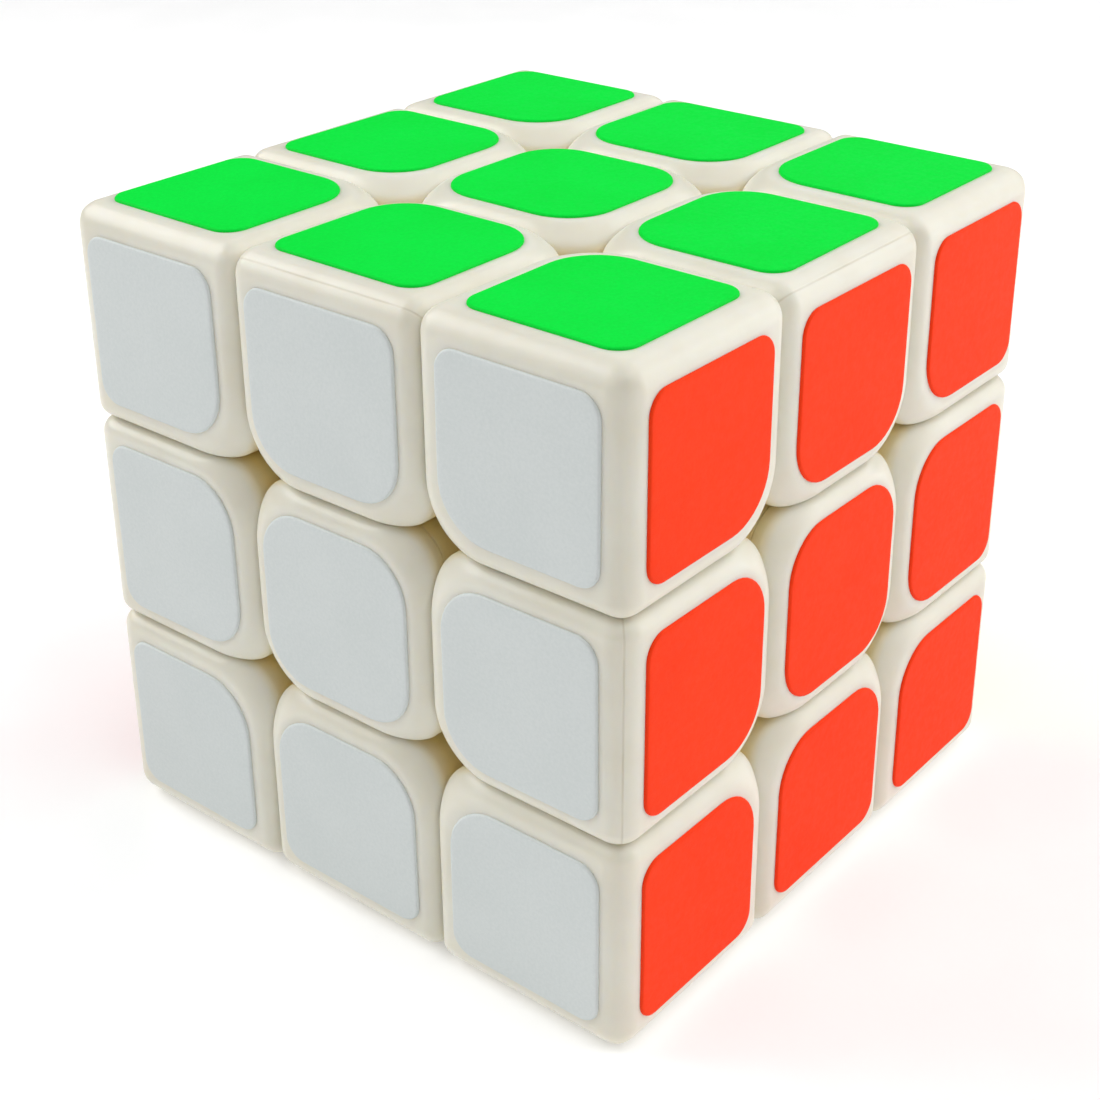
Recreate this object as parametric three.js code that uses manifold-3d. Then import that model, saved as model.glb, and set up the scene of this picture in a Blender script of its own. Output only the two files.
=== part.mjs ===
// A 3x3x3 twisty puzzle cube, 57 mm of plastic across plus its thin colour stickers, built up the way the real one is:
// a six-armed core, six spring-loaded centre pieces held by screws, twelve edge pieces whose feet run under the centres,
// and eight corner pieces whose feet run under the edges.
// Frame: millimetres, origin at the cube's centre, +Z up, +X right, -Y front. Every face turns about an axis through the origin.

import * as THREE from "three";
import { mergeVertices } from "three/addons/utils/BufferGeometryUtils.js";
import Module from "manifold-3d";

const wasm = await Module();
wasm.setup();

// ---------------------------------------------------------------- driving dimensions, mm
const PITCH = 19; // one layer
const PLASTIC_HALF = 1.5 * PITCH; // 28.5, half the plastic cube
const STICKER = 0.18; // thickness of a colour sticker
const HALF = PLASTIC_HALF + STICKER; // outside of the stickers: the solids' faces stand here
const GAP = 0.15; // each side of a seam between two layers
const CUT = PITCH / 2; // 9.5, the seam planes
const IN = CUT - GAP; // 9.35, middle layer's side of a seam
const OUT = CUT + GAP; // 9.65, outer layer's side of a seam

const R_INNER = 4.8; // the big rounding of every outline corner that points at a face centre's four holes
const R_SEAM = 1.4; // rounding where a face turns down into a seam
const R_CUBE = 2.0; // rounding of the cube's own twelve edges

const FOOT_R = 20.85; // feet run inside this sphere
const SHELL_R = 21.45; // everything over the feet stays outside this one (flats of the facets at 21.15)
const FOOT_IN = 5.15; // feet stay this far from the middle planes
const FOOT_MID = 4.85; // middle-layer feet and stalks stay inside this
const EDGE_FOOT_END = 11.6; // flat inner end of an edge foot, along its own diagonal
const CORNER_FOOT_END = 13.0; // flat inner end of a corner foot, along its own diagonal
const FOOT_REACH = 16.6; // feet don't reach further than this along an axis

const WALL = 1.6; // wall of the hollow shells
const FLOOR_R = SHELL_R + WALL; // floor over the feet

const HUB_R = 7; // ball in the middle of the core
const ARM_R = 3.2;
const ARM_END = 11.0;
const ARM_HOLE_R = 1.55;
const ARM_HOLE_END = 5.0;

const STALK_R = 4.6; // the centre piece's stalk over an arm
const STALK_END = 11.3;
const SEAT = 12.9; // the spring stands here
const BORE_R = 3.6;
const SEAT_HOLE_R = 1.9;
const CUP_TOP = 25.6; // the centre base ends here, under its cap
const CAP_BOTTOM = 25.9;

const SCREW_R = 1.25;
const SCREW_TIP = 5.6;
const HEAD_R = 2.75;
const HEAD_BOTTOM = 19.5;
const HEAD_TOP = 21.3;
const WASHER = { inner: 1.6, outer: 3.1, bottom: 18.6, top: 19.2 };
const SPRING = { mean: 2.6, wire: 0.3, bottom: 13.5, top: 18.0, turns: 4 };

const STEM_R = 3.0; // the corner foot's stem
const STEM_HOLE_R = 3.3;
const STEM_FLANGE_R = 3.6;

// ---------------------------------------------------------------- colours
const ivory = () => new THREE.MeshStandardMaterial({ color: 0xd8d2bd, roughness: 0.42, metalness: 0 });
const coreWhite = () => new THREE.MeshStandardMaterial({ color: 0xe6e4dc, roughness: 0.5, metalness: 0 });
const steel = () => new THREE.MeshStandardMaterial({ color: 0x9aa0a6, roughness: 0.3, metalness: 1 });

// ---------------------------------------------------------------- solids
function solid(geometry) {
  const g = geometry.index ? geometry.toNonIndexed() : geometry.clone();
  for (const k of Object.keys(g.attributes)) if (k !== "position") g.deleteAttribute(k);
  const m = mergeVertices(g, 1e-4);
  return new wasm.Manifold(
    new wasm.Mesh({
      numProp: 3,
      vertProperties: new Float32Array(m.attributes.position.array),
      triVerts: new Uint32Array(m.index.array),
    }),
  );
}

function geometryOf(s) {
  const m = s.getMesh();
  const v = new Float32Array(m.numVert * 3);
  for (let i = 0; i < m.numVert; i++) v.set(m.vertProperties.subarray(i * m.numProp, i * m.numProp + 3), i * 3);
  const g = new THREE.BufferGeometry().setAttribute("position", new THREE.BufferAttribute(v, 3)).setIndex(new THREE.BufferAttribute(new Uint32Array(m.triVerts), 1));
  g.computeVertexNormals();
  return g;
}

const add = (...s) => s.reduce((a, b) => a.add(b));

// A closed outline with its corners rounded: [[x, y, radius, segments], ...] anticlockwise and convex.
function outline(corners) {
  const pts = [];
  const n = corners.length;
  corners.forEach(([x, y, r, seg], i) => {
    const c = new THREE.Vector2(x, y);
    if (!r) return pts.push(c);
    const a = new THREE.Vector2(...corners[(i + n - 1) % n].slice(0, 2)).sub(c).normalize();
    const b = new THREE.Vector2(...corners[(i + 1) % n].slice(0, 2)).sub(c).normalize();
    const centre = c.clone().addScaledVector(a, r).addScaledVector(b, r); // the corners are square
    for (let k = 0; k <= seg; k++) {
      const t = (k / seg) * (Math.PI / 2);
      pts.push(centre.clone().addScaledVector(b, -r * Math.cos(t)).addScaledVector(a, -r * Math.sin(t)));
    }
  });
  return new THREE.Shape(pts);
}

// A prism on an outline, from lo to hi along an axis. The outline's own axes are the next two in X, Y, Z order.
function prism(shape, lo, hi, axis = "z") {
  const g = new THREE.ExtrudeGeometry(shape, { depth: hi - lo, bevelEnabled: false, curveSegments: 1 });
  g.translate(0, 0, lo);
  const m = new THREE.Matrix4();
  if (axis === "x") m.set(0, 0, 1, 0, 1, 0, 0, 0, 0, 1, 0, 0, 0, 0, 0, 1);
  if (axis === "y") m.set(0, 1, 0, 0, 0, 0, 1, 0, 1, 0, 0, 0, 0, 0, 0, 1);
  return solid(g.applyMatrix4(m));
}

const ball = (r, detail = 3) => solid(new THREE.IcosahedronGeometry(r, detail));

function box(x0, x1, y0, y1, z0, z1) {
  return solid(new THREE.BoxGeometry(x1 - x0, y1 - y0, z1 - z0).translate((x0 + x1) / 2, (y0 + y1) / 2, (z0 + z1) / 2));
}

// A turned solid about +Z from a closed profile [[radius, z], ...], laid along a direction.
function turned(profile, segments = 12, along = null) {
  const pts = profile.map(([r, z]) => new THREE.Vector2(r, z));
  pts.push(pts[0].clone());
  const g = new THREE.LatheGeometry(pts, segments);
  g.rotateX(Math.PI / 2); // the lathe turns about Y
  if (along) g.applyQuaternion(new THREE.Quaternion().setFromUnitVectors(new THREE.Vector3(0, 0, 1), along.clone().normalize()));
  const s = solid(g);
  if (s.volume() > 0) return s;
  const i = g.index.array;
  for (let k = 0; k < i.length; k += 3) [i[k + 1], i[k + 2]] = [i[k + 2], i[k + 1]];
  return solid(g);
}
const rod = (r, lo, hi, segments, along) => turned([[0, lo], [r, lo], [r, hi], [0, hi]], segments, along);

// ---------------------------------------------------------------- face outlines of the three kinds of piece
const cornerFace = (d = 0) =>
  outline([
    [OUT + d, OUT + d, R_INNER - d * 0.75, 3],
    [HALF - d, OUT + d, Math.max(R_SEAM - d, 0), 1],
    [HALF - d, HALF - d, Math.max(R_CUBE - d, 0.4), d ? 1 : 2],
    [OUT + d, HALF - d, Math.max(R_SEAM - d, 0), 1],
  ]);
// on Z or X faces of the edge piece between them: a across the seam direction y, b outwards
const edgeFaceYZ = (d = 0) =>
  outline([
    [-IN + d, OUT + d, R_INNER - d * 0.75, 3],
    [IN - d, OUT + d, R_INNER - d * 0.75, 3],
    [IN - d, HALF - d, Math.max(R_SEAM - d, 0), 1],
    [-IN + d, HALF - d, Math.max(R_SEAM - d, 0), 1],
  ]);
const edgeFaceXY = (d = 0) =>
  outline([
    [OUT + d, -IN + d, R_INNER - d * 0.75, 3],
    [HALF - d, -IN + d, Math.max(R_SEAM - d, 0), 1],
    [HALF - d, IN - d, Math.max(R_SEAM - d, 0), 1],
    [OUT + d, IN - d, R_INNER - d * 0.75, 3],
  ]);
const edgeEnd = (d = 0) =>
  outline([
    [OUT + d, OUT + d, 3, 1],
    [HALF - d, OUT + d, Math.max(R_SEAM - d, 0), 1],
    [HALF - d, HALF - d, Math.max(R_CUBE - d, 0.4), d ? 1 : 2],
    [OUT + d, HALF - d, Math.max(R_SEAM - d, 0), 1],
  ]);
const centreFace = (half, r) =>
  outline([
    [-half, -half, r, 3],
    [half, -half, r, 3],
    [half, half, r, 3],
    [-half, half, r, 3],
  ]);
const capSide = () =>
  outline([
    [-IN, CAP_BOTTOM, 0, 0],
    [IN, CAP_BOTTOM, 0, 0],
    [IN, HALF, R_SEAM, 1],
    [-IN, HALF, R_SEAM, 1],
  ]);

const overFeet = ball(SHELL_R);
const footBall = ball(FOOT_R);
const floorBall = ball(FLOOR_R, 2);
// everything on the inner side of a flat square to a direction, at a distance from the origin
const below = (direction, d) =>
  solid(new THREE.BoxGeometry(60, 60, 30).translate(0, 0, d - 15).applyQuaternion(new THREE.Quaternion().setFromUnitVectors(new THREE.Vector3(0, 0, 1), direction.clone().normalize())));

// ---------------------------------------------------------------- corner: a hollow outer shell, and the foot that plugs into it
const diagonal = new THREE.Vector3(1, 1, 1);
const cornerShell = (() => {
  const f = cornerFace();
  const outer = prism(f, OUT, HALF, "z").intersect(prism(f, OUT, HALF, "x")).intersect(prism(f, OUT, HALF, "y")).subtract(overFeet);
  const inner = prism(cornerFace(WALL), OUT + WALL, HALF - WALL, "z").subtract(floorBall);
  return outer.subtract(inner).subtract(rod(STEM_HOLE_R, 15, 27, 10, diagonal));
})();
const cornerFoot = (() => {
  const foot = box(FOOT_IN, FOOT_REACH, FOOT_IN, FOOT_REACH, FOOT_IN, FOOT_REACH).intersect(footBall).subtract(below(diagonal, CORNER_FOOT_END));
  const stem = turned(
    [
      [0, 18],
      [STEM_R, 18],
      [STEM_R, 25.2],
      [STEM_FLANGE_R, 25.4],
      [STEM_FLANGE_R, 26.2],
      [STEM_R * 0.8, 27.4],
      [0, 27.4],
    ],
    10,
    diagonal,
  );
  return foot.add(stem);
})();

// ---------------------------------------------------------------- edge: a hollow block with a hollow foot, between +Z and +X
const edgeWhole = (() => {
  const across = new THREE.Vector3(1, 0, 1);
  const outer = prism(edgeFaceXY(), OUT, HALF, "z").intersect(prism(edgeFaceYZ(), OUT, HALF, "x")).intersect(prism(edgeEnd(), -IN, IN, "y")).subtract(overFeet);
  const inner = prism(edgeEnd(WALL), -IN + WALL, IN - WALL, "y").subtract(floorBall);
  const foot = box(FOOT_IN, FOOT_REACH, -FOOT_MID, FOOT_MID, FOOT_IN, FOOT_REACH).intersect(footBall).subtract(below(across, EDGE_FOOT_END));
  const neck = solid(new THREE.BoxGeometry(9.6, 9.2, 4.6).translate(0, 0, 20.6).applyQuaternion(new THREE.Quaternion().setFromUnitVectors(new THREE.Vector3(0, 0, 1), across.clone().normalize())));
  return outer.subtract(inner).add(foot).add(neck).subtract(rod(2.9, 8, 24.5, 8, across));
})();

// ---------------------------------------------------------------- centre: a cup on a stalk, and its cap, about +Z
const centreBase = (() => {
  const block = prism(centreFace(IN, R_INNER), 12, CUP_TOP, "z").subtract(overFeet);
  const stalk = rod(STALK_R, STALK_END, 22.5, 12);
  const cup = prism(centreFace(IN - WALL, R_INNER - WALL), FLOOR_R, CUP_TOP + 1, "z");
  return block.add(stalk).subtract(cup).subtract(rod(BORE_R, SEAT, CUP_TOP, 12)).subtract(rod(SEAT_HOLE_R, STALK_END - 1, SEAT + 1, 8));
})();
const centreCap = (() => {
  const plate = prism(centreFace(IN, R_INNER), CAP_BOTTOM, HALF, "z").intersect(prism(capSide(), -IN, IN, "x")).intersect(
    solid(new THREE.ExtrudeGeometry(capSide(), { depth: 2 * IN, bevelEnabled: false }).translate(0, 0, -IN).rotateX(Math.PI / 2)),
  );
  const skirt = prism(centreFace(IN - WALL - 0.3, R_INNER - WALL - 0.3), FLOOR_R + 0.4, CAP_BOTTOM + 0.5, "z").subtract(
    prism(centreFace(IN - 2 * WALL - 0.1, R_INNER - 2 * WALL), FLOOR_R, CAP_BOTTOM + 0.2, "z"),
  );
  return plate.add(skirt);
})();

// ---------------------------------------------------------------- core, screw, washer and spring
const directions = {
  top: new THREE.Vector3(0, 0, 1),
  bottom: new THREE.Vector3(0, 0, -1),
  right: new THREE.Vector3(1, 0, 0),
  left: new THREE.Vector3(-1, 0, 0),
  back: new THREE.Vector3(0, 1, 0),
  front: new THREE.Vector3(0, -1, 0),
};
const coreSolid = (() => {
  let s = ball(HUB_R, 1);
  for (const d of Object.values(directions)) s = s.add(rod(ARM_R, 0, ARM_END, 12, d));
  for (const d of Object.values(directions)) s = s.subtract(rod(ARM_HOLE_R, ARM_HOLE_END, ARM_END + 1, 8, d));
  return s;
})();
const screwSolid = (() => {
  const body = turned(
    [
      [0, SCREW_TIP],
      [SCREW_R * 0.6, SCREW_TIP],
      [SCREW_R, SCREW_TIP + 1.2],
      [SCREW_R, HEAD_BOTTOM],
      [HEAD_R, HEAD_BOTTOM],
      [HEAD_R, HEAD_TOP - 0.7],
      [HEAD_R * 0.7, HEAD_TOP],
      [0, HEAD_TOP],
    ],
    10,
  );
  const slot = [box(-1.5, 1.5, -0.3, 0.3, HEAD_TOP - 1.0, HEAD_TOP + 1), box(-0.3, 0.3, -1.5, 1.5, HEAD_TOP - 1.0, HEAD_TOP + 1)];
  return body.subtract(add(...slot));
})();
const washerSolid = turned(
  [
    [WASHER.inner, WASHER.bottom],
    [WASHER.outer, WASHER.bottom],
    [WASHER.outer, WASHER.top],
    [WASHER.inner, WASHER.top],
  ],
  12,
);
class Coil extends THREE.Curve {
  getPoint(t, target = new THREE.Vector3()) {
    const a = t * SPRING.turns * 2 * Math.PI;
    const flat = 0.12; // the ground ends lie flat
    const u = Math.min(Math.max((t - flat) / (1 - 2 * flat), 0), 1);
    const lift = t < flat ? (t / flat) * 0.62 : t > 1 - flat ? ((t - 1 + flat) / flat) * 0.62 + 0.62 : 0.62;
    const rise = SPRING.top - SPRING.bottom - 1.24;
    return target.set(SPRING.mean * Math.cos(a), SPRING.mean * Math.sin(a), SPRING.bottom + u * rise + lift);
  }
}
const springSolid = (() => {
  const ring = new THREE.Shape(Array.from({ length: 4 }, (_, k) => new THREE.Vector2(SPRING.wire * Math.cos((k * Math.PI) / 2), SPRING.wire * Math.sin((k * Math.PI) / 2))));
  return solid(new THREE.ExtrudeGeometry(ring, { steps: SPRING.turns * 9, bevelEnabled: false, extrudePath: new Coil(), curveSegments: 1 }));
})();

// ---------------------------------------------------------------- the assembly
const cube = new THREE.Group();
cube.name = "puzzle_cube";

function place(name, s, material, quaternion = new THREE.Quaternion()) {
  const mesh = new THREE.Mesh(geometryOf(s), material);
  mesh.name = name;
  mesh.quaternion.copy(quaternion);
  cube.add(mesh);
}

// turns a piece built at one place into another: whole quarter turns, so the matrix holds only 0, 1 and -1
function turnTo(xAxis, yAxis, zAxis) {
  return new THREE.Quaternion().setFromRotationMatrix(new THREE.Matrix4().makeBasis(xAxis, yAxis, zAxis));
}
const cross = (a, b) => new THREE.Vector3().crossVectors(a, b);

place("core", coreSolid, coreWhite());

for (const [face, d] of Object.entries(directions)) {
  const side = Math.abs(d.z) > 0.5 ? new THREE.Vector3(1, 0, 0) : new THREE.Vector3(0, 0, 1);
  const q = turnTo(side, cross(d, side), d);
  place("screw_" + face, screwSolid, steel(), q);
  place("washer_" + face, washerSolid, steel(), q);
  place("spring_" + face, springSolid, steel(), q);
  place("centre_base_" + face, centreBase, ivory(), q);
  place("centre_cap_" + face, centreCap, ivory(), q);
}

// each edge by the two faces it belongs to; built between +Z (first) and +X (second)
const edges = [
  ["top", "right"], ["top", "left"], ["top", "back"], ["top", "front"],
  ["bottom", "right"], ["bottom", "left"], ["bottom", "back"], ["bottom", "front"],
  ["back", "right"], ["back", "left"], ["front", "right"], ["front", "left"],
];
for (const [a, b] of edges) {
  const z = directions[a], x = directions[b];
  place("edge_" + a + "_" + b, edgeWhole, ivory(), turnTo(x, cross(z, x), z));
}

// each corner by its three faces; built between +X, +Y and +Z
for (const v of ["top", "bottom"])
  for (const f of ["front", "back"])
    for (const h of ["left", "right"]) {
      let [x, y] = [directions[h], directions[f]];
      const z = directions[v];
      if (cross(x, y).dot(z) < 0) [x, y] = [y, x];
      const q = turnTo(x, y, z);
      place("corner_shell_" + v + "_" + f + "_" + h, cornerShell, ivory(), q);
      place("corner_foot_" + v + "_" + f + "_" + h, cornerFoot, ivory(), q);
    }

export default cube;
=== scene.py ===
import math

import bpy
import numpy as np
from mathutils import Matrix, Vector


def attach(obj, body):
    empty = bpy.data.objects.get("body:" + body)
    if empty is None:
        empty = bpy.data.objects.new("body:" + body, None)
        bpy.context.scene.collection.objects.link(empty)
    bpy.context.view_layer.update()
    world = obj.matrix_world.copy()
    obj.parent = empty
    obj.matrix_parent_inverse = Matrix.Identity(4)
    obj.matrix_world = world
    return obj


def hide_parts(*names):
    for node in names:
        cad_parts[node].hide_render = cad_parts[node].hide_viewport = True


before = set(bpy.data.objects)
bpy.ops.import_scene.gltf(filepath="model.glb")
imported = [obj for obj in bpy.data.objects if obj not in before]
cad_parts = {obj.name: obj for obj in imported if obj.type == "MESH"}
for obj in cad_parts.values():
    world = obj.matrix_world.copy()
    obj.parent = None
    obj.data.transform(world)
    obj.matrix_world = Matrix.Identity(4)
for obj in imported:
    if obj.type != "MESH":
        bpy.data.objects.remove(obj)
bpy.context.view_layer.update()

MM = 0.001

# ------------------------------------------------------------------ sizes, mm (cube's centre at the origin)
HALF = 28.45         # half the plastic cube
STICK = 0.23         # sticker thickness
IN, OUT = 9.45, 9.55  # the two sides of a seam
R_INNER = 5.9        # big rounding round the four holes of a face, at the face
R_DEEP = 3.6         # the same rounding 2 mm further in
R_HOLE = 1.6         # the face's own rounding where it meets one of those holes
R_SEAM = 1.45        # rounding into a seam
R_CUBE = 2.1         # rounding of the cube's own edges
FOOT_R = 20.85
SHELL_R = 21.15
WALL = 1.6
FLOOR_R = SHELL_R + WALL

DIRS = {
    "top": Vector((0, 0, 1)), "bottom": Vector((0, 0, -1)),
    "right": Vector((1, 0, 0)), "left": Vector((-1, 0, 0)),
    "back": Vector((0, 1, 0)), "front": Vector((0, -1, 0)),
}


# ------------------------------------------------------------------ distance fields
def rmax(a, b, r):
    """Both a and b, with their meeting edge rounded to radius r."""
    return np.minimum(np.maximum(a, b), -r) + np.hypot(np.maximum(a + r, 0), np.maximum(b + r, 0))


def rmin(a, b, r):
    """Either a or b, with a fillet of radius r between them."""
    return -rmax(-a, -b, r)


def plate(x, y, x0, x1, y0, y1, r00, r10, r11, r01):
    """Distance to a rectangle with its own radius at each corner, and the way out of it."""
    cx, cy = (x0 + x1) / 2, (y0 + y1) / 2
    sx, sy = np.where(x >= cx, 1.0, -1.0), np.where(y >= cy, 1.0, -1.0)
    r = np.where(sx > 0, np.where(sy > 0, r11, r10), np.where(sy > 0, r01, r00))
    qx = np.abs(x - cx) - (x1 - x0) / 2 + r
    qy = np.abs(y - cy) - (y1 - y0) / 2 + r
    ox, oy = np.maximum(qx, 0), np.maximum(qy, 0)
    out = np.hypot(ox, oy)
    d = np.minimum(np.maximum(qx, qy), 0) + out - r
    both = out > 1e-9
    nx = np.where(both, ox / np.maximum(out, 1e-9), np.where(qx >= qy, 1.0, 0.0)) * sx
    ny = np.where(both, oy / np.maximum(out, 1e-9), np.where(qx >= qy, 0.0, 1.0)) * sy
    return d, nx, ny


def slab(z, lo, hi):
    return np.abs(z - (lo + hi) / 2) - (hi - lo) / 2


def inner_radius(c):
    """The hole's rounding at height c: large at the face, tighter further in, as the walls lean out."""
    t = np.clip((c - (HALF - 2.1)) / 2.1, 0, 1)
    return R_DEEP + (R_INNER - R_DEEP) * t * t * (3 - 2 * t)


def hollow_side(na, nb):
    """1 where the outline faces a hole squarely, 0 on the straight sides."""
    return np.clip(2 * np.clip(na, 0, 1) * np.clip(nb, 0, 1), 0, 1)


def corner_block(x, y, z):
    out = None
    for a, b, c in ((x, y, z), (y, z, x), (z, x, y)):
        d, na, nb = plate(a, b, OUT, HALF, OUT, HALF, inner_radius(c), R_SEAM, R_CUBE, R_SEAM)
        r = R_SEAM + (R_CUBE - R_SEAM) * np.clip(np.maximum(na, nb), 0, 1) + (R_HOLE - R_SEAM) * hollow_side(-na, -nb)
        r = np.where(c > (OUT + HALF) / 2, r, 1.0)
        f = rmax(d, slab(c, OUT, HALF), r)
        out = f if out is None else np.maximum(out, f)
    return out


DIAG = 1 / math.sqrt(3)


def about_diagonal(x, y, z):
    t = (x + y + z) * DIAG
    return t, np.sqrt(np.maximum(x * x + y * y + z * z - t * t, 0))


def corner_shell(x, y, z):
    b = corner_block(x, y, z)
    rho = np.sqrt(x * x + y * y + z * z)
    t, s = about_diagonal(x, y, z)
    hollow = np.maximum(b + WALL, FLOOR_R - rho)
    hole = np.maximum(s - 3.3, t - 27.0)
    return np.maximum(rmax(b, SHELL_R - rho, 0.45), -np.minimum(hollow, hole))


def corner_foot(x, y, z):
    rho = np.sqrt(x * x + y * y + z * z)
    t, s = about_diagonal(x, y, z)
    low = rmax(rmax(5.15 - x, 5.15 - y, 0.8), 5.15 - z, 0.8)
    high = rmax(rmax(x - 16.6, y - 16.6, 0.8), z - 16.6, 0.8)
    foot = rmax(rmax(rmax(low, high, 0.6), rho - FOOT_R, 0.7), 13.0 - t, 0.8)
    stem = rmax(s - 3.0, slab(t, 17.0, 27.4), 0.6)
    flange = rmax(s - 3.6, slab(t, 25.2, 26.4), 0.3)
    return rmin(rmin(foot, stem, 0.9), flange, 0.2)


def edge_piece(x, y, z):
    """Between +X and +Z, along Y."""
    dz, nx, ny = plate(x, y, OUT, HALF, -IN, IN, inner_radius(z), R_SEAM, R_SEAM, inner_radius(z))
    dx, nz, my = plate(z, y, OUT, HALF, -IN, IN, inner_radius(x), R_SEAM, R_SEAM, inner_radius(x))
    dy, _, _ = plate(z, x, OUT, HALF, OUT, HALF, 3.0, R_SEAM, R_CUBE, R_SEAM)
    mid = (OUT + HALF) / 2
    rz = np.where(z > mid, R_SEAM + (R_CUBE - R_SEAM) * np.clip(nx, 0, 1) + (R_HOLE - R_SEAM) * hollow_side(-nx, np.abs(ny)), 1.0)
    rx = np.where(x > mid, R_SEAM + (R_CUBE - R_SEAM) * np.clip(nz, 0, 1) + (R_HOLE - R_SEAM) * hollow_side(-nz, np.abs(my)), 1.0)
    block = np.maximum(np.maximum(rmax(dz, slab(z, OUT, HALF), rz), rmax(dx, slab(x, OUT, HALF), rx)), rmax(dy, slab(y, -IN, IN), R_SEAM))
    rho = np.sqrt(x * x + y * y + z * z)
    t, w = (x + z) / math.sqrt(2), (x - z) / math.sqrt(2)
    hollow = np.maximum(block + WALL, FLOOR_R - rho)
    skin = np.maximum(rmax(block, SHELL_R - rho, 0.45), -hollow)
    foot = rmax(rmax(rmax(5.15 - x, 5.15 - z, 0.8), rmax(np.abs(y) - 4.85, np.maximum(x, z) - 16.6, 0.8), 0.8), rmax(rho - FOOT_R, 11.6 - t, 0.7), 0.7)
    neck = rmax(rmax(np.abs(w) - 4.7, np.abs(y) - 4.5, 1.2), slab(t, 17.5, 22.9), 0.3)
    bore = np.maximum(np.hypot(w, y) - 2.9, t - 24.5)
    return np.maximum(rmin(rmin(foot, neck, 0.7), skin, 0.25), -bore)


def centre_base(x, y, z):
    d, _, _ = plate(x, y, -IN, IN, -IN, IN, *[inner_radius(z)] * 4)
    rho = np.sqrt(x * x + y * y + z * z)
    s = np.hypot(x, y)
    block = rmax(rmax(d, slab(z, 10.0, 25.6), 0.02), SHELL_R - rho, 0.45)
    stalk = rmax(s - 4.6, slab(z, 11.3, 23.0), 0.5)
    cup = np.maximum(d + WALL, 22.8 - z)
    bore = rmax(s - 3.6, 12.9 - z, 0.3)
    seat = np.hypot(x, y) - 1.9
    return np.maximum(rmin(block, stalk, 0.5), -np.minimum(np.minimum(cup, bore), seat))


def centre_cap(x, y, z):
    d, nx, ny = plate(x, y, -IN, IN, -IN, IN, *[inner_radius(z)] * 4)
    top = rmax(d, z - HALF, R_SEAM + (R_HOLE - R_SEAM) * hollow_side(np.abs(nx), np.abs(ny)))
    lid = rmax(top, 25.62 - z, 0.02)
    skirt = np.maximum(np.maximum(d + WALL + 0.3, -(d + 2 * WALL + 0.1)), slab(z, 23.3, 26.0))
    return rmin(lid, skirt, 0.2)


def core_body(x, y, z):
    rho = np.sqrt(x * x + y * y + z * z)
    s = rho - 7.0
    for a, b, c in ((x, y, z), (y, z, x), (z, x, y)):
        arm = rmax(np.hypot(a, b) - 3.2, np.abs(c) - 11.0, 0.35)
        s = rmin(s, arm, 1.6)
    for a, b, c in ((x, y, z), (y, z, x), (z, x, y)):
        s = np.maximum(s, -np.maximum(np.hypot(a, b) - 1.55, 5.0 - np.abs(c)))
    return s


# ------------------------------------------------------------------ meshing a field
def steps(*spans):
    """Grid lines from spans (start, end, about this far apart)."""
    out = []
    for lo, hi, d in spans:
        n = max(1, int(round((hi - lo) / d)))
        out += list(np.linspace(lo, hi, n, endpoint=False))
    out.append(spans[-1][1])
    return np.array(out)


def gradient(f, p, h=0.004):
    g = np.empty_like(p)
    for a in range(3):
        e = np.zeros(3)
        e[a] = h
        q, r = p + e, p - e
        g[:, a] = (f(q[:, 0], q[:, 1], q[:, 2]) - f(r[:, 0], r[:, 1], r[:, 2])) / (2 * h)
    return g


def part_sheets(D):
    """Samples changed so that no face of a cell has its signs crosswise, which would join two sheets of the surface at one edge."""
    for _ in range(12):
        s = D < 0
        found = False
        for a, b in ((0, 1), (0, 2), (1, 2)):
            cut = {}
            for i in (0, 1):
                for j in (0, 1):
                    sl = [slice(None)] * 3
                    sl[a], sl[b] = slice(i, D.shape[a] - 1 + i), slice(j, D.shape[b] - 1 + j)
                    cut[i, j] = s[tuple(sl)]
            at = np.argwhere((cut[0, 0] == cut[1, 1]) & (cut[0, 1] == cut[1, 0]) & (cut[0, 0] != cut[0, 1]))
            if not len(at):
                continue
            found = True
            corners = np.repeat(at[None], 4, 0)
            for k, (i, j) in enumerate(((0, 0), (0, 1), (1, 0), (1, 1))):
                corners[k, :, a] += i
                corners[k, :, b] += j
            near = np.abs(D[corners[..., 0], corners[..., 1], corners[..., 2]]).argmin(0)
            pick = tuple(corners[near, np.arange(len(at))].T)
            D[pick] = -np.copysign(1e-4, D[pick])
        if not found:
            break
    return D


def weld(v, quads):
    """The same mesh with vertices that fell on each other made one, and faces without area left out."""
    _, first, into = np.unique(np.round(v, 4), axis=0, return_index=True, return_inverse=True)
    into = into.ravel()
    faces = []
    for q in into[quads].tolist():
        ring = [k for i, k in enumerate(q) if k != q[i - 1]]
        if len(set(ring)) == len(ring) and len(ring) > 2:
            faces.append(ring)
    return v[first], faces


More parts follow.
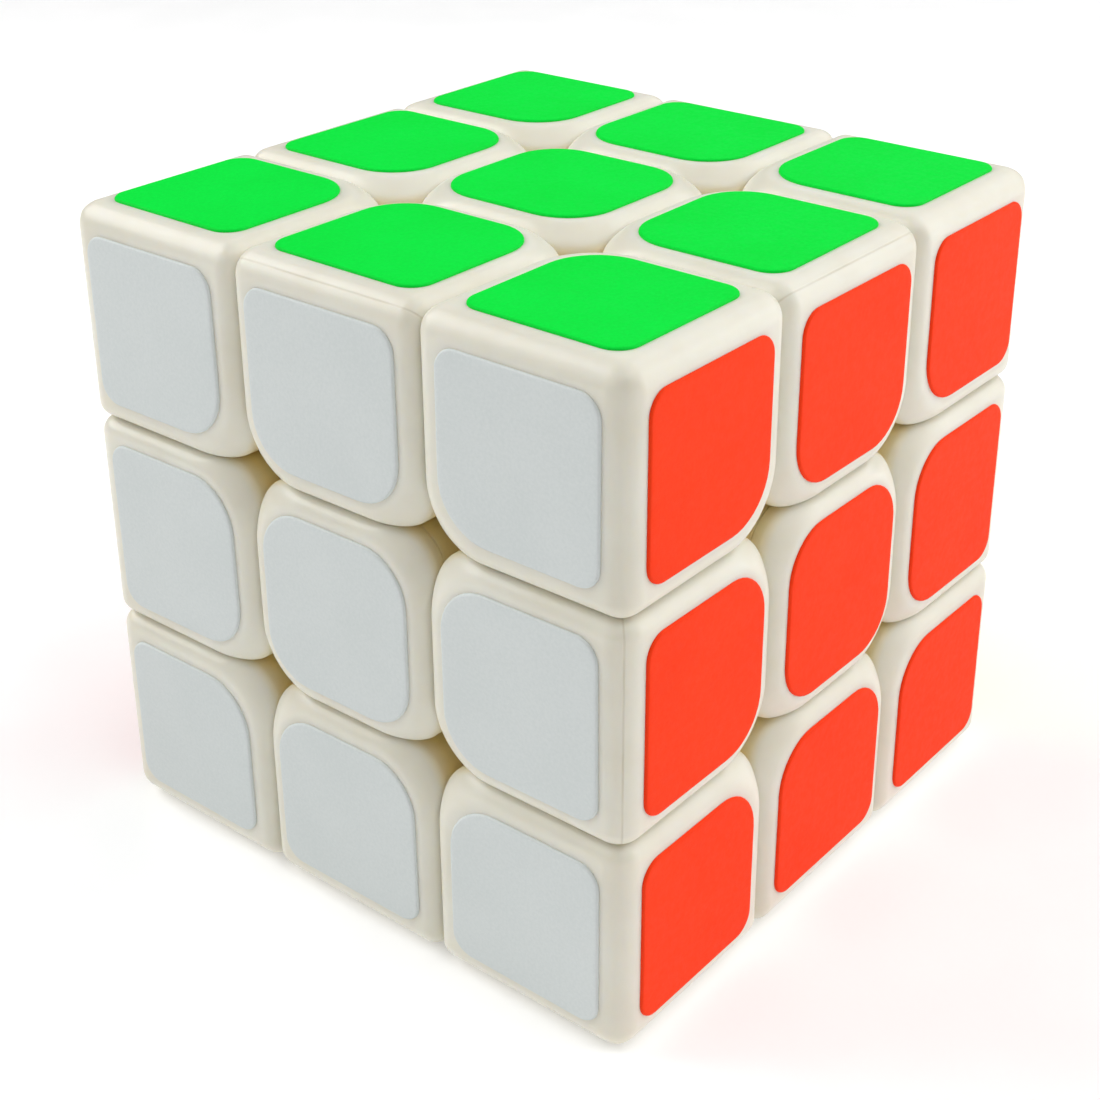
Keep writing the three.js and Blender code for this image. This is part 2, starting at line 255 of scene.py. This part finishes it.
def net(f, xs, ys, zs):
    """A quad mesh of f = 0: one vertex in every cell that the surface crosses, moved onto the surface."""
    X, Y, Z = np.meshgrid(xs, ys, zs, indexing="ij")
    D = f(X, Y, Z)
    D = part_sheets(np.where(D == 0, 1e-7, D))
    ins = D < 0
    P = (X, Y, Z)
    n = np.array(D.shape)
    acc = np.zeros(tuple(n - 1) + (3,))
    cnt = np.zeros(tuple(n - 1))
    cross = []
    for a in range(3):
        lo, hi = [slice(None)] * 3, [slice(None)] * 3
        lo[a], hi[a] = slice(0, -1), slice(1, None)
        lo, hi = tuple(lo), tuple(hi)
        c = ins[lo] != ins[hi]
        t = np.where(c, D[lo] / np.where(c, D[lo] - D[hi], 1), 0)
        pts = np.stack([P[k][lo] + t * (P[k][hi] - P[k][lo]) for k in range(3)], -1)
        b, d = [k for k in range(3) if k != a]
        for ob in (0, 1):
            for od in (0, 1):
                src, dst = [slice(None)] * 3, [slice(None)] * 3
                for k, o in ((b, ob), (d, od)):
                    src[k] = slice(o, n[k] - 1 + o)
                m = c[tuple(src)]
                acc[tuple(dst)] += np.where(m[..., None], pts[tuple(src)], 0)
                cnt[tuple(dst)] += m
        cross.append(c)
    used = cnt > 0
    idx = -np.ones(used.shape, int)
    idx[used] = np.arange(used.sum())
    v = acc[used] / cnt[used][:, None]
    quads = []
    for a in range(3):
        b, d = (a + 1) % 3, (a + 2) % 3
        c = cross[a].copy()
        edge = [slice(None)] * 3
        ok = np.zeros_like(c)
        edge[b], edge[d] = slice(1, n[b] - 1), slice(1, n[d] - 1)
        ok[tuple(edge)] = True
        at = np.argwhere(c & ok)
        eb, ed = np.zeros(3, int), np.zeros(3, int)
        eb[b], ed[d] = 1, 1
        q = np.stack([idx[tuple((at - eb - ed).T)], idx[tuple((at - ed).T)], idx[tuple(at.T)], idx[tuple((at - eb).T)]], 1)
        outward = ins[tuple(at.T)]
        q[~outward] = q[~outward][:, ::-1]
        quads.append(q)
    quads = np.concatenate(quads)
    cell = np.stack(np.meshgrid(np.diff(xs), np.diff(ys), np.diff(zs), indexing="ij"), -1).min(-1)[used]
    for _ in range(5):
        g = gradient(f, v)
        g2 = np.maximum((g * g).sum(1), 0.05)
        step = (f(v[:, 0], v[:, 1], v[:, 2]) / g2)[:, None] * g
        size = np.linalg.norm(step, axis=1)
        step *= np.minimum(1, 0.5 * cell / np.maximum(size, 1e-9))[:, None]
        v = v - step
    v, quads = weld(v, quads)
    g = gradient(f, v)
    normal = g / np.maximum(np.linalg.norm(g, axis=1), 1e-9)[:, None]
    return v, quads, normal


def new_mesh(name, v, faces, normal=None, smooth=True):
    me = bpy.data.meshes.new(name)
    me.from_pydata([tuple(p) for p in (np.asarray(v) * MM).tolist()], [], [tuple(q) for q in (faces.tolist() if hasattr(faces, "tolist") else faces)])
    me.validate(clean_customdata=False)
    if smooth:
        me.polygons.foreach_set("use_smooth", [True] * len(me.polygons))
    if normal is not None and len(normal) == len(me.vertices):
        me.normals_split_custom_set_from_vertices([tuple(q) for q in normal.tolist()])
    me.update()
    return me


def basis(x, y, z):
    m = Matrix.Identity(4)
    for r in range(3):
        m[r][0], m[r][1], m[r][2] = x[r], y[r], z[r]
    return m


# ------------------------------------------------------------------ materials
def srgb(r, g, b):
    return tuple(((c / 255) / 12.92 if c / 255 <= 0.04045 else ((c / 255 + 0.055) / 1.055) ** 2.4) for c in (r, g, b)) + (1.0,)


class Nodes:
    def __init__(self, name):
        self.mat = bpy.data.materials.new(name)
        self.mat.use_nodes = True
        self.nt = self.mat.node_tree
        self.bsdf = next(n for n in self.nt.nodes if n.type == "BSDF_PRINCIPLED")
        self.coord = self.add("ShaderNodeTexCoord").outputs["Object"]

    def add(self, kind, **props):
        n = self.nt.nodes.new(kind)
        for k, v in props.items():
            if k.startswith("in_"):
                n.inputs[k[3:].replace("_", " ")].default_value = v
            else:
                setattr(n, k, v)
        return n

    def link(self, a, b):
        self.nt.links.new(a, b)

    def noise(self, scale, detail=3.0, rough=0.55, vector=None):
        n = self.add("ShaderNodeTexNoise")
        n.inputs["Scale"].default_value = scale
        n.inputs["Detail"].default_value = detail
        n.inputs["Roughness"].default_value = rough
        self.link(vector or self.coord, n.inputs["Vector"])
        return n.outputs["Fac"]

    def ramp(self, fac, lo, hi, a, b):
        n = self.add("ShaderNodeMapRange")
        n.inputs["From Min"].default_value = lo
        n.inputs["From Max"].default_value = hi
        n.inputs["To Min"].default_value = a
        n.inputs["To Max"].default_value = b
        self.link(fac, n.inputs["Value"])
        return n.outputs["Result"]

    def math(self, op, a, b=None, clamp=False):
        n = self.add("ShaderNodeMath", operation=op, use_clamp=clamp)
        for s, v in ((0, a), (1, b)):
            if v is None:
                continue
            if isinstance(v, (int, float)):
                n.inputs[s].default_value = v
            else:
                self.link(v, n.inputs[s])
        return n.outputs[0]

    def mix(self, fac, a, b):
        n = self.add("ShaderNodeMix", data_type="RGBA")
        self.link(fac, n.inputs[0])
        for s, v in ((6, a), (7, b)):
            if isinstance(v, tuple):
                n.inputs[s].default_value = v
            else:
                self.link(v, n.inputs[s])
        return n.outputs[2]

    def bump(self, height, strength, distance):
        n = self.add("ShaderNodeBump")
        n.inputs["Strength"].default_value = strength
        n.inputs["Distance"].default_value = distance
        self.link(height, n.inputs["Height"])
        return n


# the deep colour is painted bounce light and shade: a warm tan laid into the pockets between pieces, not a colour of
# the plastic
def plastic(name, light, dark, deep, rough=(0.29, 0.37), subsurface=0.35, parting=None):
    """Satin moulded plastic: slow mottling, fine moulded grain, a few rubbed streaks, and a painted warm tan of bounce
    light and shade in the pocket where four pieces meet.
    """
    m = Nodes(name)
    b = m.bsdf
    sep = m.add("ShaderNodeSeparateXYZ")
    m.link(m.coord, sep.inputs[0])
    cloud = m.noise(160, 3, 0.6)
    colour = m.mix(m.ramp(cloud, 0.36, 0.66, 0, 1), light, dark)
    reach = m.math("MAXIMUM", m.math("MAXIMUM", m.math("ABSOLUTE", sep.outputs[0]), m.math("ABSOLUTE", sep.outputs[1])), m.math("ABSOLUTE", sep.outputs[2]))
    # painted bounce light and shade: the plastic turns warm tan below the face, near the lines where four pieces meet
    painted_bounce_depth = m.ramp(m.math("ADD", reach, m.math("MULTIPLY", m.noise(300, 2, 0.5), 0.0008)), 0.0276, 0.0258, 0, 1)
    off = [m.math("SUBTRACT", m.math("ABSOLUTE", sep.outputs[k]), 0.0095) for k in range(3)]
    square = [m.math("MULTIPLY", o, o) for o in off]
    outward = m.math("SUBTRACT", reach, 0.0095)
    away2 = m.math("SUBTRACT", m.math("ADD", m.math("ADD", square[0], square[1]), square[2]), m.math("MULTIPLY", outward, outward))
    painted_bounce_pocket = m.ramp(m.math("MULTIPLY", away2, 1e6), 14.0, 36.0, 1, 0)
    colour = m.mix(m.math("MULTIPLY", painted_bounce_depth, painted_bounce_pocket), colour, deep)
    grain = m.noise(5200, 2, 0.5)
    orange_peel = m.noise(900, 2, 0.5)
    b.inputs["IOR"].default_value = 1.49
    b.inputs["Subsurface Weight"].default_value = subsurface
    b.inputs["Subsurface Radius"].default_value = (1.0, 0.78, 0.48)
    b.inputs["Subsurface Scale"].default_value = 0.0020
    smear = m.noise(420, 4, 0.62)
    m.link(m.ramp(smear, 0.35, 0.7, rough[0], rough[1]), b.inputs["Roughness"])
    height = m.math("ADD", m.math("MULTIPLY", grain, 0.25), m.math("MULTIPLY", orange_peel, 0.6))
    last = m.bump(height, 0.10, 0.00012)
    if parting is not None:
        away = m.math("ABSOLUTE", m.math("SUBTRACT", sep.outputs[0], sep.outputs[2]))
        line = m.ramp(away, 0.00004, 0.00016, 1, 0)
        line = m.math("MULTIPLY", line, m.ramp(m.noise(260, 2, 0.5), 0.3, 0.7, 0.35, 1.0))
        colour = m.mix(m.math("MULTIPLY", line, 0.35), colour, parting)
        groove = m.bump(m.math("MULTIPLY", line, -1.0), 0.35, 0.00008)
        m.link(last.outputs[0], groove.inputs["Normal"])
        last = groove
    m.link(colour, b.inputs["Base Color"])
    m.link(last.outputs[0], b.inputs["Normal"])
    return m.mat


def sticker_film(name, colour, deep, rough=(0.50, 0.62), shine=0.35):
    """Matt vinyl film: fine embossed grain with a soft speckle."""
    m = Nodes(name)
    b = m.bsdf
    speckle = m.noise(3600, 2, 0.6)
    cloud = m.noise(120, 2, 0.5)
    tone = m.math("ADD", m.math("MULTIPLY", speckle, 0.6), m.math("MULTIPLY", cloud, 0.4))
    base = m.mix(m.ramp(tone, 0.38, 0.62, 0, 1), colour, deep)
    m.link(base, b.inputs["Base Color"])
    m.link(m.ramp(m.noise(1500, 2, 0.5), 0.3, 0.7, rough[0], rough[1]), b.inputs["Roughness"])
    b.inputs["IOR"].default_value = 1.4
    b.inputs["Specular IOR Level"].default_value = shine
    height = m.math("ADD", m.math("MULTIPLY", m.noise(4200, 3, 0.6), 0.7), m.math("MULTIPLY", m.noise(700, 2, 0.5), 0.3))
    bump = m.bump(height, 0.16, 0.00010)
    m.link(bump.outputs[0], b.inputs["Normal"])
    return m.mat


def metal(name, colour, rough=(0.22, 0.4)):
    m = Nodes(name)
    b = m.bsdf
    b.inputs["Metallic"].default_value = 1.0
    wear = m.noise(900, 4, 0.6)
    m.link(m.mix(m.ramp(wear, 0.35, 0.65, 0, 1), colour, tuple(c * 0.8 for c in colour[:3]) + (1.0,)), b.inputs["Base Color"])
    m.link(m.ramp(wear, 0.3, 0.7, rough[0], rough[1]), b.inputs["Roughness"])
    bump = m.bump(m.noise(5000, 3, 0.6), 0.1, 0.00005)
    m.link(bump.outputs[0], b.inputs["Normal"])
    return m.mat


# the third colour is painted bounce light and shade for the pockets between pieces, not the plastic's own colour
IVORY_LIGHT, IVORY_DARK, IVORY_PAINTED_BOUNCE = (0.81, 0.785, 0.68, 1), (0.78, 0.745, 0.63, 1), (0.99, 0.82, 0.44, 1)
M_PLASTIC = plastic("ivory_moulding", IVORY_LIGHT, IVORY_DARK, IVORY_PAINTED_BOUNCE)
M_EDGE = plastic("ivory_edge_moulding", IVORY_LIGHT, IVORY_DARK, IVORY_PAINTED_BOUNCE, parting=srgb(170, 155, 120))
M_FOOT = plastic("ivory_foot_moulding", IVORY_DARK, (0.78, 0.74, 0.60, 1), IVORY_PAINTED_BOUNCE, rough=(0.29, 0.36))
M_CORE = plastic("core_moulding", srgb(236, 234, 226), srgb(226, 223, 212), srgb(226, 223, 212), rough=(0.4, 0.5))
M_STEEL = metal("screw_steel", (0.56, 0.57, 0.58, 1))
M_SPRING = metal("spring_wire", (0.42, 0.43, 0.45, 1))

STICKERS = {
    "top": ("sticker_green", sticker_film("film_green", (0.0, 0.80, 0.055, 1), (0.0, 0.74, 0.045, 1), (0.55, 0.68), 0.12)),
    "right": ("sticker_orange", sticker_film("film_orange", (1.0, 0.052, 0.007, 1), (0.99, 0.044, 0.005, 1), (0.55, 0.68), 0.15)),
    "front": ("sticker_white", sticker_film("film_white", (0.715, 0.755, 0.745, 1), (0.675, 0.72, 0.71, 1), (0.45, 0.6), 0.3)),
    "back": ("sticker_yellow", sticker_film("film_yellow", (0.95, 0.70, 0.01, 1), (0.92, 0.65, 0.008, 1), (0.55, 0.68), 0.15)),
    "left": ("sticker_red", sticker_film("film_red", (0.62, 0.010, 0.014, 1), (0.57, 0.008, 0.012, 1), (0.55, 0.68), 0.15)),
    "bottom": ("sticker_blue", sticker_film("film_blue", (0.006, 0.085, 0.62, 1), (0.005, 0.072, 0.56, 1), (0.55, 0.68), 0.15)),
}


# ------------------------------------------------------------------ the moulded pieces, one mesh for each kind
def piece(name, mesh, material, body, matrix, slot, *nodes):
    o = bpy.data.objects.new(name, mesh)
    bpy.context.scene.collection.objects.link(o)
    o.matrix_world = matrix
    if not mesh.materials:
        mesh.materials.append(material)
    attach(o, body)
    if nodes:
        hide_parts(*nodes)
    return o


FINE = 0.30
outer = steps((9.2, 9.5, 0.15), (9.5, 11.2, 0.26), (11.2, 15.8, 0.38), (15.8, 26.0, 1.1), (26.0, 28.8, 0.26))
wide = steps((-9.9, -7.6, 0.25), (-7.6, -3.0, 0.4), (-3.0, 3.0, 1.0), (3.0, 7.6, 0.4), (7.6, 9.9, 0.25))
deep = steps((4.6, 9.2, 0.5), (9.2, 9.5, 0.15), (9.5, 11.2, 0.26), (11.2, 15.8, 0.38), (15.8, 26.0, 1.0), (26.0, 28.8, 0.26))
foot_grid = steps((4.7, 18.6, 0.42))

me_shell = new_mesh("corner_shell", *net(corner_shell, outer, outer, outer))
me_foot = new_mesh("corner_foot", *net(corner_foot, foot_grid, foot_grid, foot_grid))
me_edge = new_mesh("edge", *net(edge_piece, deep, wide, deep))
me_base = new_mesh("centre_base", *net(centre_base, wide, wide, steps((10.9, 25.25, 0.42), (25.25, 25.55, 0.15), (25.55, 25.7, 0.05))))
me_cap = new_mesh("centre_cap", *net(centre_cap, wide, wide, steps((22.9, 25.3, 0.4), (25.3, 25.55, 0.12), (25.55, 25.7, 0.05), (25.7, 26.0, 0.15), (26.0, 28.8, 0.24))))
core_grid = steps((-11.5, 11.5, 0.5))
me_core = new_mesh("core", *net(core_body, core_grid, core_grid, core_grid))
for me, mat in ((me_shell, M_PLASTIC), (me_foot, M_FOOT), (me_edge, M_EDGE), (me_base, M_PLASTIC), (me_cap, M_PLASTIC), (me_core, M_CORE)):
    me.materials.append(mat)

EYE = Matrix.Identity(4)
piece("core_moulding", me_core, M_CORE, "core", EYE, "core_plastic", "core")


# ------------------------------------------------------------------ screw, washer, spring
def lathe(profile, n):
    """A closed turned mesh about Z from an open profile that starts and ends on the axis, or a closed ring profile."""
    ring = profile[0][0] > 1e-6
    v, f, rows = [], [], []
    for r, z in profile:
        if r < 1e-6:
            rows.append([len(v)])
            v.append((0, 0, z))
        else:
            rows.append(list(range(len(v), len(v) + n)))
            v += [(r * math.cos(2 * math.pi * k / n), r * math.sin(2 * math.pi * k / n), z) for k in range(n)]
    pairs = list(zip(rows, rows[1:])) + ([(rows[-1], rows[0])] if ring else [])
    for a, b in pairs:
        for k in range(n):
            k2 = (k + 1) % n
            q = [a[k % len(a)], a[k2 % len(a)], b[k2 % len(b)], b[k % len(b)]]
            q = list(dict.fromkeys(q))
            if len(q) > 2:
                f.append(q)
    return np.array(v), f


def screw_field(x, y, z):
    s = np.hypot(x, y)
    a = np.arctan2(y, x)
    pitch = 1.0
    thread = 1.16 + 0.09 * np.cos(2 * np.pi * (z / pitch) - a)
    thread = np.where(z < 13.0, thread, 1.16)
    shank = rmax(s - np.minimum(thread, 0.5 + (z - 5.6) * 0.75), slab(z, 5.6, 20.0), 0.08)
    head = rmax(s - 2.75, slab(z, 19.5, 21.3), 0.45)
    cross = np.maximum(np.minimum(np.maximum(np.abs(x) - 0.32, np.abs(y) - 1.55), np.maximum(np.abs(y) - 0.32, np.abs(x) - 1.55)), 20.4 - z)
    return np.maximum(rmin(shank, head, 0.15), -cross)


def coil(mean, wire, lo, hi, turns, n=28, m=8):
    total = int(turns * n)
    v, f = [], []
    flat = 0.75 / turns
    for i in range(total + 1):
        t = i / total
        a = 2 * math.pi * turns * t
        u = min(max((t - flat) / (1 - 2 * flat), 0), 1)
        lead = wire * 2.1
        z = lo + wire + (lead * (t / flat) if t < flat else lead if t <= 1 - flat else lead + lead * (t - 1 + flat) / flat) * 1.0 + u * (hi - lo - 2 * wire - 2 * lead)
        c, s = math.cos(a), math.sin(a)
        for k in range(m):
            b = 2 * math.pi * k / m
            rr = mean + wire * math.cos(b)
            v.append((rr * c, rr * s, z + wire * math.sin(b)))
    for i in range(total):
        for k in range(m):
            k2 = (k + 1) % m
            f.append([i * m + k, (i + 1) * m + k, (i + 1) * m + k2, i * m + k2])
    f.append(list(range(m)))
    f.append(list(range(total * m + m - 1, total * m - 1, -1)))
    return np.array(v), f


sg = steps((-3.0, -1.7, 0.3), (-1.7, 1.7, 0.17), (1.7, 3.0, 0.3))
me_screw = new_mesh("screw", *net(screw_field, sg, sg, steps((5.3, 13.4, 0.2), (13.4, 19.2, 0.6), (19.2, 21.6, 0.2))))
wv, wf = lathe([(1.6, 18.68), (1.68, 18.6), (3.02, 18.6), (3.1, 18.68), (3.1, 19.12), (3.02, 19.2), (1.68, 19.2), (1.6, 19.12)], 32)
me_washer = new_mesh("washer", wv, wf)
cv, cf = coil(2.6, 0.3, 13.2, 18.3, 4)
me_spring = new_mesh("spring", cv, cf)
me_screw.materials.append(M_STEEL)
me_washer.materials.append(M_STEEL)
me_spring.materials.append(M_SPRING)

for face, d in DIRS.items():
    side = Vector((1, 0, 0)) if abs(d.z) > 0.5 else Vector((0, 0, 1))
    m = basis(side, d.cross(side), d)
    piece("screw_in_" + face, me_screw, M_STEEL, "core", m, "steel", "screw_" + face)
    piece("washer_on_" + face, me_washer, M_STEEL, "core", m, "steel", "washer_" + face)
    piece("coil_spring_" + face, me_spring, M_SPRING, "core", m, "spring_steel", "spring_" + face)
    piece("centre_cup_" + face, me_base, M_PLASTIC, "centre_" + face, m, "ivory_plastic", "centre_base_" + face)
    piece("centre_lid_" + face, me_cap, M_PLASTIC, "centre_" + face, m, "ivory_plastic", "centre_cap_" + face)


# ------------------------------------------------------------------ stickers
def sticker_mesh(name, corners, material, arc=10):
    """A film with rounded corners and a soft lip, in its own plane at z = 0: corners are (x, y, radius), anticlockwise."""
    n = len(corners)

    def loop(inset, z):
        pts = []
        for i, (x, y, r) in enumerate(corners):
            px, py = corners[i - 1][:2]
            qx, qy = corners[(i + 1) % n][:2]
            a = np.array([px - x, py - y]); a = a / np.linalg.norm(a)
            b = np.array([qx - x, qy - y]); b = b / np.linalg.norm(b)
            c = np.array([x, y]) + a * r + b * r
            for k in range(arc + 1):
                t = k / arc * math.pi / 2
                pts.append(tuple(c - (b * math.cos(t) + a * math.sin(t)) * (r - inset)) + (z,))
        return pts

    lip = 0.20
    rings = [loop(0.0, 0.0), loop(0.0, 0.03)]
    for k in range(1, 5):
        t = k / 4 * math.pi / 2
        rings.append(loop(lip * (1 - math.cos(t)), 0.03 + (STICK - 0.03) * math.sin(t)))
    rings.append(loop(0.55, STICK))
    v = [p for r in rings for p in r]
    m = len(rings[0])
    f = []
    for i in range(len(rings) - 1):
        for k in range(m):
            k2 = (k + 1) % m
            f.append([i * m + k, i * m + k2, (i + 1) * m + k2, (i + 1) * m + k])
    top = (len(rings) - 1) * m
    cx, cy = np.mean([p[0] for p in rings[-1]]), np.mean([p[1] for p in rings[-1]])
    v.append((cx, cy, STICK)); v.append((cx, cy, 0.0))
    for k in range(m):
        k2 = (k + 1) % m
        f.append([top + k, top + k2, len(v) - 2])
        f.append([k2, k, len(v) - 1])
    me = new_mesh(name, np.array(v), f)
    me.materials.append(material)
    return me


CENTRE_FILM = [(-7.755, -7.755, 4.26), (7.755, -7.755, 4.26), (7.755, 7.755, 4.26), (-7.755, 7.755, 4.26)]
# x runs outwards from the face's centre, y across
EDGE_FILM = [(11.40, -7.72, 4.3), (26.14, -7.72, 1.93), (26.14, 7.72, 1.93), (11.40, 7.72, 4.3)]
CORNER_FILM = [(11.56, 11.56, 4.57), (26.24, 11.56, 1.90), (26.24, 26.24, 1.82), (11.56, 26.24, 1.90)]
films = {}
rng = np.random.RandomState(57)


def stick(name, kind, corners, face, x, body):
    """Lays a film on a face. x is the direction that the film's own x takes."""
    slot, material = STICKERS[face]
    if (kind, face) not in films:
        films[kind, face] = sticker_mesh("film_" + kind + "_" + slot, corners, material)
    n = DIRS[face]
    y = n.cross(x)
    m = basis(x, y, n)
    dx, dy, turn = rng.uniform(-0.07, 0.07), rng.uniform(-0.07, 0.07), rng.uniform(-0.35, 0.35)
    cx = sum(c[0] for c in corners) / 4
    cy = sum(c[1] for c in corners) / 4
    wobble = Matrix.Translation(Vector((cx + dx, cy + dy, HALF)) * MM) @ Matrix.Rotation(math.radians(turn), 4, "Z") @ Matrix.Translation(Vector((-cx, -cy, 0)) * MM)
    return piece(name, films[kind, face], material, body, m @ wobble, slot)


for face, d in DIRS.items():
    side = Vector((1, 0, 0)) if abs(d.z) > 0.5 else Vector((0, 0, 1))
    stick("film_centre_" + face, "centre", CENTRE_FILM, face, side, "centre_" + face)

EDGES = [("top", "right"), ("top", "left"), ("top", "back"), ("top", "front"),
         ("bottom", "right"), ("bottom", "left"), ("bottom", "back"), ("bottom", "front"),
         ("back", "right"), ("back", "left"), ("front", "right"), ("front", "left")]
for a, b in EDGES:
    z, x = DIRS[a], DIRS[b]
    name = f"edge_{a}_{b}"
    piece("moulded_" + name, me_edge, M_EDGE, name, basis(x, z.cross(x), z), "ivory_plastic", name)
    stick(f"film_{name}_on_{a}", "edge", EDGE_FILM, a, x, name)
    stick(f"film_{name}_on_{b}", "edge", EDGE_FILM, b, z, name)

for v in ("top", "bottom"):
    for g in ("front", "back"):
        for h in ("left", "right"):
            x, y, z = DIRS[h], DIRS[g], DIRS[v]
            names = [h, g, v]
            if x.cross(y).dot(z) < 0:
                x, y = y, x
                names = [g, h, v]
            name = f"{v}_{g}_{h}"
            m = basis(x, y, z)
            piece("moulded_corner_" + name, me_shell, M_PLASTIC, "corner_" + name, m, "ivory_plastic", "corner_shell_" + name)
            piece("corner_plug_" + name, me_foot, M_FOOT, "corner_" + name, m, "ivory_plastic", "corner_foot_" + name)
            axes = [x, y, z]
            for k in range(3):
                # the film's x and y are the next two axes round, so that x cross y points out of the face
                stick(f"film_corner_{name}_on_{names[k]}", "corner", CORNER_FILM, names[k], axes[(k + 1) % 3], "corner_" + name)


# ------------------------------------------------------------------ floor, light, camera
FLOOR_Z = -(HALF + STICK) * MM
fl = bpy.data.meshes.new("floor")
fl.from_pydata([(-3, -3, 0), (3, -3, 0), (3, 3, 0), (-3, 3, 0)], [], [(0, 1, 2, 3)])
floor = bpy.data.objects.new("floor", fl)
floor.location.z = FLOOR_Z - 0.00002
bpy.context.scene.collection.objects.link(floor)
fm = Nodes("floor_paper")
fm.link(fm.mix(fm.ramp(fm.noise(60, 3), 0.4, 0.6, 0, 1), (0.93, 0.93, 0.93, 1), (0.90, 0.90, 0.90, 1)), fm.bsdf.inputs["Base Color"])
fm.bsdf.inputs["Roughness"].default_value = 0.9
fm.bsdf.inputs["Emission Color"].default_value = (1.0, 1.0, 1.0, 1)
fm.bsdf.inputs["Emission Strength"].default_value = 0.22
fl.materials.append(fm.mat)

world = bpy.data.worlds.new("studio")
bpy.context.scene.world = world
world.use_nodes = True
bg = world.node_tree.nodes["Background"]
bg.inputs["Color"].default_value = (1.0, 1.0, 1.0, 1)
bg.inputs["Strength"].default_value = 0.02


def lamp(name, azimuth, height, power, size=0.40, distance=0.6):
    """A square softbox aimed at the cube: azimuth from +X towards +Y and height over the floor in degrees, power in W."""
    li = bpy.data.lights.new(name, "AREA")
    li.shape = "SQUARE"
    li.size = size
    li.energy = power
    o = bpy.data.objects.new(name, li)
    az, el = math.radians(azimuth), math.radians(height)
    d = Vector((math.cos(el) * math.cos(az), math.cos(el) * math.sin(az), math.sin(el)))
    o.location = d * distance
    o.rotation_euler = d.to_track_quat("Z", "Y").to_euler()
    bpy.context.scene.collection.objects.link(o)
    return o


for az, el, power in (
    (202.5, 38, 2.15), (247.5, 38, 0.36), (225, 12, 0.15),            # left of the white face
    (45, 12, 1.15), (67.5, 38, 1.00), (22.5, 38, 0.44), (112.5, 38, 0.26),  # right and behind
    (337.5, 38, 0.13), (292.5, 38, 0.09),                             # over the camera
    (0, 64, 0.86), (288, 64, 0.34), (72, 64, 0.26),                   # overhead
):
    lamp(f"softbox_{int(az)}_{el}", az, el, power)

cam = bpy.data.cameras.new("camera")
co = bpy.data.objects.new("camera", cam)
bpy.context.scene.collection.objects.link(co)
fwd = Vector((-0.57249072, 0.70547738, -0.41779904))
right = Vector((0.77756182, 0.62879562, -0.00369996))
up = Vector((-0.26009997, 0.32698278, 0.90853193))
co.matrix_world = Matrix.Translation(Vector((94.584, -116.235, 75.768)) * MM) @ basis(right, up, -fwd)
cam.sensor_fit = "HORIZONTAL"
cam.sensor_width = 36.0
cam.lens = 1889.126 * 36.0 / 1100.0
cam.shift_x = -(566.47 - 550.0) / 1100.0
cam.shift_y = (420.36 - 550.0) / 1100.0
cam.clip_start = 0.005
bpy.context.scene.camera = co
bpy.context.scene.view_settings.view_transform = "Standard"
